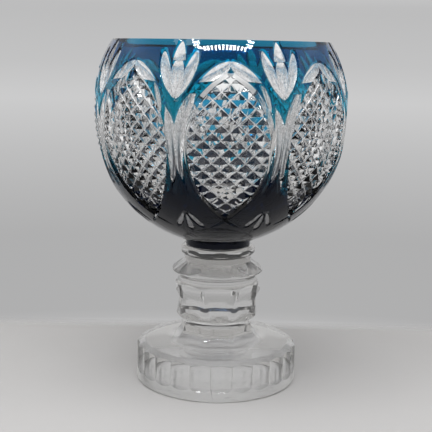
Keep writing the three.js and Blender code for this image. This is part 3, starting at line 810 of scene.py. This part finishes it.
CRYSTAL = clear_crystal((0.99, 0.991, 0.99, 1))
SOFT_CUT = soft_cut("soft_cut", 0.72, 0.08, 0.3)
SATIN_CUT = soft_cut("satin_cut", 0.9, 0.03, 0.16)
GROOVE_EDGE = soft_cut("groove_edge", 0.4, 0.2, 0.4)
BASE_TINT = base_tint()
crystal_bottom = [(r, z + SEAT_GAP) for r, z in reversed(seat(BASE_RADIUS - SEAT_EDGE, SEAT_SINK))]
crystal_section = [*crystal_bottom, *outside(CASING + FUSION_GAP)[1:], *hollow_section()]
crystal = turned("bowl_crystal_cut", crystal_section, BOWL_STEPS, CRYSTAL)
casing = turned("casing", [(0, bowl_floor), *outside(0), (0, rim_height)], BOWL_STEPS, CRYSTAL)
under_skin = turned(
    "under_skin",
    [
        (0, bowl_floor - 1),
        (BASE_RADIUS - CASING, bowl_floor - 1),
        *outside(CASING, past_rim=1)[1:],
        (0, rim_height + 1),
    ],
    BOWL_STEPS,
)
ground(casing, under_skin)
for cut in decoration():
    copy = cut.copy()
    copy.data = cut.data.copy()
    bpy.context.collection.objects.link(copy)
    ground(crystal, cut)
    ground(casing, copy)


def depth_of(at):
    """How deep below the bowl's outside a point lies."""
    radius = math.hypot(at.x, at.y) + profile_inset
    return PROFILE_RADIUS - math.hypot(radius, at.z - belly_height)


def under_casing(at, face):
    """True on the crystal's uncut outside, which the blue casing covers."""
    outward = Vector((at.x, at.y, 0)).normalized()
    if at.z < bowl_floor + BASE_HEIGHT:
        is_outermost = math.hypot(at.x, at.y) > BASE_RADIUS - CASING - 0.3
        return is_outermost and face.normal.dot(outward) > 0.9
    middle = Vector((0, 0, belly_height)) - outward * profile_inset
    is_at_casing = abs(depth_of(at) - CASING - FUSION_GAP) < 0.03
    return is_at_casing and face.normal.dot((at - middle).normalized()) > 0.99


polished(crystal)
fuse(crystal, under_casing, FUSED)
fuse(crystal, lambda at, face: at.z < bowl_floor + 2 * SEAT_GAP, BASE_TINT)
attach(crystal, "root")
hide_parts("bowl_crystal")

# Casing: the thin blue glass fused over the whole bowl, deeper in colour towards the base. The
# cuts go through it, which leaves a shoulder under the rim, a base and a tip over each panel.


def blue_crystal(name, index, gloss=(1, 1, 1, 1)):
    """The casing's polished outside and cut edges, with the colour of its reflections."""
    material = CRYSTAL.copy()
    material.name = name
    glass = material.node_tree.nodes["Principled BSDF"]
    glass.inputs["Base Color"].default_value = (0.86, 0.98, 1, 1)
    glass.inputs["IOR"].default_value = index
    glass.inputs["Specular Tint"].default_value = gloss
    material.node_tree.nodes["Bump"].inputs["Strength"].default_value = 0.012
    return material


def blue_layer():
    """The colour that light takes on in the casing, a little uneven and deeper at the base."""
    material = bpy.data.materials.new("blue_layer")
    material.use_nodes = True
    nodes, links = material.node_tree.nodes, material.node_tree.links
    nodes.remove(nodes["Principled BSDF"])
    place = nodes.new("ShaderNodeTexCoord")
    split = nodes.new("ShaderNodeSeparateXYZ")
    base, rim = bowl_floor * MM, rim_height * MM
    height = value_of(nodes, "ShaderNodeMapRange", From_Min=base, From_Max=rim)
    noise = value_of(nodes, "ShaderNodeTexNoise", Scale=14, Detail=2)
    uneven = nodes.new("ShaderNodeMath")
    uneven.operation = "MULTIPLY_ADD"
    uneven.inputs[1].default_value = 0.16
    centre = nodes.new("ShaderNodeMath")
    centre.operation = "SUBTRACT"
    centre.inputs[1].default_value = 0.08
    ramp = nodes.new("ShaderNodeValToRGB")
    stops = ramp.color_ramp.elements
    stops[0].position = 0.3
    stops[0].color = (0.003, 0.008, 0.03, 1)
    stops[1].position = 0.95
    stops[1].color = (0.002, 0.29, 0.5, 1)
    middle = stops.new(0.62)
    middle.color = (0.012, 0.39, 0.54, 1)
    through = nodes.new("ShaderNodeBsdfTransparent")
    links.new(place.outputs["Object"], split.inputs[0])
    links.new(split.outputs["Z"], height.inputs["Value"])
    links.new(place.outputs["Object"], noise.inputs["Vector"])
    links.new(noise.outputs["Fac"], uneven.inputs[0])
    links.new(height.outputs[0], uneven.inputs[2])
    links.new(uneven.outputs[0], centre.inputs[0])
    links.new(centre.outputs[0], ramp.inputs["Fac"])
    links.new(ramp.outputs["Color"], through.inputs["Color"])
    links.new(through.outputs[0], nodes["Material Output"].inputs["Surface"])
    return material


BLUE = blue_crystal("blue_crystal", 1.52)
# Painted shade: the casing's base gets a lower index and a blue tint on its reflections, so they
# are dimmer and bluer, standing in for the shaded table and foot below the bowl.
BLUE_BASE_SHADED = blue_crystal("blue_base_shaded", 1.37, (0.68, 0.75, 1, 1))
BLUE_LAYER = blue_layer()


def lies_on_crystal(at, face):
    """True on the casing's inner face."""
    outward = Vector((at.x, at.y, 0)).normalized()
    if at.z < bowl_floor + BASE_HEIGHT:
        return face.normal.dot(outward) < -0.9
    middle = Vector((0, 0, belly_height)) - outward * profile_inset
    is_at_crystal = abs(depth_of(at) - CASING) < 0.03
    return is_at_crystal and face.normal.dot((at - middle).normalized()) < -0.99


def loose_parts(piece):
    """The piece's loose bodies, as lists of its faces."""
    loose = bmesh.new()
    loose.from_mesh(piece.data)
    loose.faces.ensure_lookup_table()
    unseen = set(range(len(loose.faces)))
    parts = []
    while unseen:
        first = unseen.pop()
        part = [first]
        front = [first]
        while front:
            face = loose.faces[front.pop()]
            for edge in face.edges:
                for other in edge.link_faces:
                    if other.index in unseen:
                        unseen.discard(other.index)
                        part.append(other.index)
                        front.append(other.index)
        parts.append(part)
    loose.free()
    return parts


def part_of(piece, name, faces):
    """A new piece with only these faces of the old one."""
    kept = piece.copy()
    kept.name = name
    kept.data = piece.data.copy()
    kept.data.name = name
    bpy.context.collection.objects.link(kept)
    loose = bmesh.new()
    loose.from_mesh(kept.data)
    loose.faces.ensure_lookup_table()
    wanted = set(faces)
    others = [face for face in loose.faces if face.index not in wanted]
    bmesh.ops.delete(loose, geom=others, context="FACES")
    loose.to_mesh(kept.data)
    loose.free()
    return kept


def node_of(piece, faces):
    """The name of the casing's node that a loose body belongs to."""
    corners = [v for face in faces for v in piece.data.polygons[face].vertices]
    points = [piece.data.vertices[v].co / MM for v in corners]
    low = min(point.z for point in points)
    high = max(point.z for point in points)
    if high < belly_height - 10:
        return "casing_base"
    middle = sum(points, Vector()) / len(points)
    azimuth = math.atan2(middle.x, -middle.y) % (2 * math.pi)
    panel = round(azimuth / (2 * math.pi / PANELS))
    off_axis = abs(azimuth - panel * 2 * math.pi / PANELS)
    if off_axis < 0.05 and high < rim_height - 10 and low > belly_height + 15:
        return f"casing_tip_{panel % PANELS + 1}"
    return "casing_shoulder"


groups = {}
for faces in loose_parts(casing):
    groups.setdefault(node_of(casing, faces), []).extend(faces)
for node, faces in sorted(groups.items()):
    blue = part_of(casing, f"blue_{node}", faces)
    for slot in range(len(blue.data.materials)):
        # The base of the casing takes the copy with painted shade in its reflections; the rest
        # takes the plain blue crystal.
        blue.data.materials[slot] = BLUE_BASE_SHADED if node == "casing_base" else BLUE
    polished(blue)
    fuse(blue, lies_on_crystal, BLUE_LAYER)
    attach(blue, "root")
    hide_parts(node)
bpy.data.objects.remove(casing)

# Studio: a pale table in front of a softly shaded pale backdrop, inside a tent of white cloth
# that lights everything evenly. The camera looks down on the bowl a little from in front.
CAMERA_DISTANCE = 640
CAMERA_HEIGHT = 236.9
CAMERA_AZIMUTH = math.radians(-4)
CAMERA_PITCH = math.radians(-10.44)
CAMERA_ROLL = math.radians(1.06)
TABLE_EDGE = 135
TABLE_FADE = 26
TABLE_DROP = 0.2


def seen_by_glass(nodes, links):
    """One where a ray has come through or off the glass, nought for all others."""
    path = nodes.new("ShaderNodeLightPath")
    either = nodes.new("ShaderNodeMath")
    either.operation = "MAXIMUM"
    links.new(path.outputs["Is Transmission Ray"], either.inputs[0])
    links.new(path.outputs["Is Glossy Ray"], either.inputs[1])
    return either.outputs[0], path


def table_cloth():
    """Matt white laminate, a little uneven, that runs out softly at the far edge."""
    material = bpy.data.materials.new("table")
    material.use_nodes = True
    nodes, links = material.node_tree.nodes, material.node_tree.links
    matt = nodes["Principled BSDF"]
    matt.inputs["Roughness"].default_value = 0.7
    matt.inputs["Specular IOR Level"].default_value = 0.2
    place = nodes.new("ShaderNodeTexCoord")
    cloud = value_of(nodes, "ShaderNodeTexNoise", Scale=9, Detail=3)
    tone = nodes.new("ShaderNodeValToRGB")
    tone.color_ramp.elements[0].color = (0.405, 0.396, 0.385, 1)
    tone.color_ramp.elements[1].color = (0.44, 0.43, 0.418, 1)
    glow = nodes.new("ShaderNodeEmission")
    glow.inputs["Color"].default_value = (0.46, 0.453, 0.443, 1)
    lit = nodes.new("ShaderNodeMixShader")
    split = nodes.new("ShaderNodeSeparateXYZ")
    fade_start, fade_end = (TABLE_EDGE - TABLE_FADE) * MM, TABLE_EDGE * MM
    edge = value_of(nodes, "ShaderNodeMapRange", From_Min=fade_start, From_Max=fade_end)
    edge.interpolation_type = "SMOOTHSTEP"
    beyond = nodes.new("ShaderNodeBsdfTransparent")
    faded = nodes.new("ShaderNodeMixShader")
    glass_ray, _ = seen_by_glass(nodes, links)
    links.new(place.outputs["Object"], cloud.inputs["Vector"])
    links.new(cloud.outputs["Fac"], tone.inputs["Fac"])
    links.new(tone.outputs["Color"], matt.inputs["Base Color"])
    links.new(glass_ray, lit.inputs["Fac"])
    links.new(matt.outputs[0], lit.inputs[1])
    links.new(glow.outputs[0], lit.inputs[2])
    links.new(place.outputs["Object"], split.inputs[0])
    links.new(split.outputs["Y"], edge.inputs["Value"])
    links.new(edge.outputs[0], faded.inputs["Fac"])
    links.new(lit.outputs[0], faded.inputs[1])
    links.new(beyond.outputs[0], faded.inputs[2])
    links.new(faded.outputs[0], nodes["Material Output"].inputs["Surface"])
    return material


def table_top():
    """The table, turned so that its far edge lies across the camera's view."""
    wide, near = 1.2, -0.8
    far = TABLE_EDGE * MM
    mesh = bpy.data.meshes.new("table")
    corners = [(-wide, near, 0), (wide, near, 0), (wide, far, 0), (-wide, far, 0)]
    mesh.from_pydata(corners, [], [(0, 1, 2, 3)])
    mesh.materials.append(table_cloth())
    table = bpy.data.objects.new("table", mesh)
    table.location = (0, 0, -TABLE_DROP * MM)
    table.rotation_euler = (0, 0, CAMERA_AZIMUTH)
    bpy.context.collection.objects.link(table)
    return table


table_top()


def light_tent():
    """The tent: its cloth by height, darker towards the camera's side, white to the table."""
    world = bpy.data.worlds.new("light_tent")
    bpy.context.scene.world = world
    world.use_nodes = True
    nodes, links = world.node_tree.nodes, world.node_tree.links
    direction = nodes.new("ShaderNodeTexCoord")
    split = nodes.new("ShaderNodeSeparateXYZ")
    height = value_of(nodes, "ShaderNodeMapRange", From_Min=-1, From_Max=1)
    cloth = nodes.new("ShaderNodeValToRGB")
    stops = cloth.color_ramp.elements
    stops[0].position = 0
    stops[0].color = (0.5, 0.49, 0.48, 1)
    stops[1].position = 1
    stops[1].color = (0.4, 0.4, 0.41, 1)
    by_height = [(-0.302, 0.56), (-0.286, 0.43), (-0.2, 0.425), (-0.16, 0.46), (-0.11, 0.515)]
    by_height += [(-0.053, 0.6), (-0.015, 0.54), (0.045, 0.5), (0.1, 0.7), (0.17, 0.8)]
    by_height += [(0.2, 0.9), (0.28, 0.9), (0.31, 0.47), (0.42, 0.5), (0.52, 0.9), (0.7, 0.5)]
    for z, level in by_height:
        stop = stops.new((z + 1) / 2)
        stop.color = (level, level, level * 1.005, 1)
    front = value_of(nodes, "ShaderNodeMapRange", From_Min=-0.75, From_Max=-0.2, To_Min=0.2)
    front.interpolation_type = "SMOOTHSTEP"
    shaded = nodes.new("ShaderNodeMix")
    shaded.data_type = "RGBA"
    shaded.blend_type = "MULTIPLY"
    seen = nodes.new("ShaderNodeMath")
    seen.operation = "MAXIMUM"
    final = nodes.new("ShaderNodeMix")
    final.data_type = "RGBA"
    final.inputs["A"].default_value = (0.8, 0.8, 0.81, 1)
    glass_ray, path = seen_by_glass(nodes, links)
    links.new(direction.outputs["Generated"], split.inputs[0])
    links.new(split.outputs["Z"], height.inputs["Value"])
    links.new(height.outputs[0], cloth.inputs["Fac"])
    links.new(split.outputs["Y"], front.inputs["Value"])
    links.new(cloth.outputs["Color"], shaded.inputs["A"])
    links.new(front.outputs[0], shaded.inputs["B"])
    links.new(glass_ray, shaded.inputs["Factor"])
    links.new(glass_ray, seen.inputs[0])
    links.new(path.outputs["Is Camera Ray"], seen.inputs[1])
    links.new(seen.outputs[0], final.inputs["Factor"])
    links.new(shaded.outputs["Result"], final.inputs["B"])
    links.new(final.outputs["Result"], nodes["Background"].inputs["Color"])


light_tent()
LED_HEIGHT = 600
LED_ROW_FROM_AXIS = 305
LED_SIDE_FROM_AXIS = 160
LED_SPACING = 23.4
LED_SIZE = (10, 40)


def led_glow():
    """The bare diodes of the tent's lamp, each a little uneven over its face."""
    material = bpy.data.materials.new("led_glow")
    material.use_nodes = True
    nodes, links = material.node_tree.nodes, material.node_tree.links
    nodes.remove(nodes["Principled BSDF"])
    place = nodes.new("ShaderNodeTexCoord")
    grain = value_of(nodes, "ShaderNodeTexNoise", Scale=30)
    tone = nodes.new("ShaderNodeValToRGB")
    tone.color_ramp.elements[0].color = (0.9, 0.93, 1, 1)
    tone.color_ramp.elements[1].color = (1, 1, 1, 1)
    glow = nodes.new("ShaderNodeEmission")
    glow.inputs["Strength"].default_value = 75
    links.new(place.outputs["Object"], grain.inputs["Vector"])
    links.new(grain.outputs["Fac"], tone.inputs["Fac"])
    links.new(tone.outputs["Color"], glow.inputs["Color"])
    links.new(glow.outputs[0], nodes["Material Output"].inputs["Surface"])
    return material


def led_frame():
    """The lamp overhead: a row of diodes in front and one down each side."""
    wide, long = LED_SIZE
    spots = [(LED_SPACING * (i - 6), -LED_ROW_FROM_AXIS, wide, long) for i in range(13)]
    for side in (LED_SIDE_FROM_AXIS, -LED_SIDE_FROM_AXIS):
        spots += [(side, LED_SPACING * i - LED_ROW_FROM_AXIS, long, wide) for i in range(1, 9)]
    points = []
    for x, y, width, depth in spots:
        for i, j in ((-1, -1), (-1, 1), (1, 1), (1, -1)):
            points.append(Vector((x + width * i / 2, y + depth * j / 2, LED_HEIGHT)) * MM)
    faces = [(i, i + 1, i + 2, i + 3) for i in range(0, len(points), 4)]
    mesh = bpy.data.meshes.new("led_frame")
    mesh.from_pydata(points, [], faces)
    mesh.materials.append(led_glow())
    frame_piece = bpy.data.objects.new("led_frame", mesh)
    frame_piece.rotation_euler = (0, 0, CAMERA_AZIMUTH / 2)
    bpy.context.collection.objects.link(frame_piece)
    return frame_piece


led_frame()

lamp_data = bpy.data.lights.new("softbox", "AREA")
lamp_data.shape = "RECTANGLE"
lamp_data.size = 0.5
lamp_data.size_y = 0.4
lamp_data.energy = 1.2
lamp = bpy.data.objects.new("softbox", lamp_data)
lamp.location = (-0.15, -0.1, 0.75)
bpy.context.collection.objects.link(lamp)

camera_data = bpy.data.cameras.new("camera")
camera_data.lens = 75.27
camera_data.sensor_width = 36
camera_data.shift_x = -0.00574
camera = bpy.data.objects.new("camera", camera_data)
turned_to_bowl = Matrix.Rotation(CAMERA_AZIMUTH, 4, "Z")
tipped_down = Matrix.Rotation(math.pi / 2 + CAMERA_PITCH, 4, "X")
aimed = turned_to_bowl @ tipped_down @ Matrix.Rotation(CAMERA_ROLL, 4, "Z")
standing = (
    CAMERA_DISTANCE * math.sin(CAMERA_AZIMUTH) * MM,
    -CAMERA_DISTANCE * math.cos(CAMERA_AZIMUTH) * MM,
    CAMERA_HEIGHT * MM,
)
camera.matrix_world = Matrix.Translation(standing) @ aimed
bpy.context.collection.objects.link(camera)
bpy.context.scene.camera = camera

bpy.context.scene.view_settings.view_transform = "Standard"
bpy.context.scene.cycles.transparent_max_bounces = 32
bpy.context.scene.cycles.max_bounces = 24
bpy.context.scene.cycles.transmission_bounces = 24
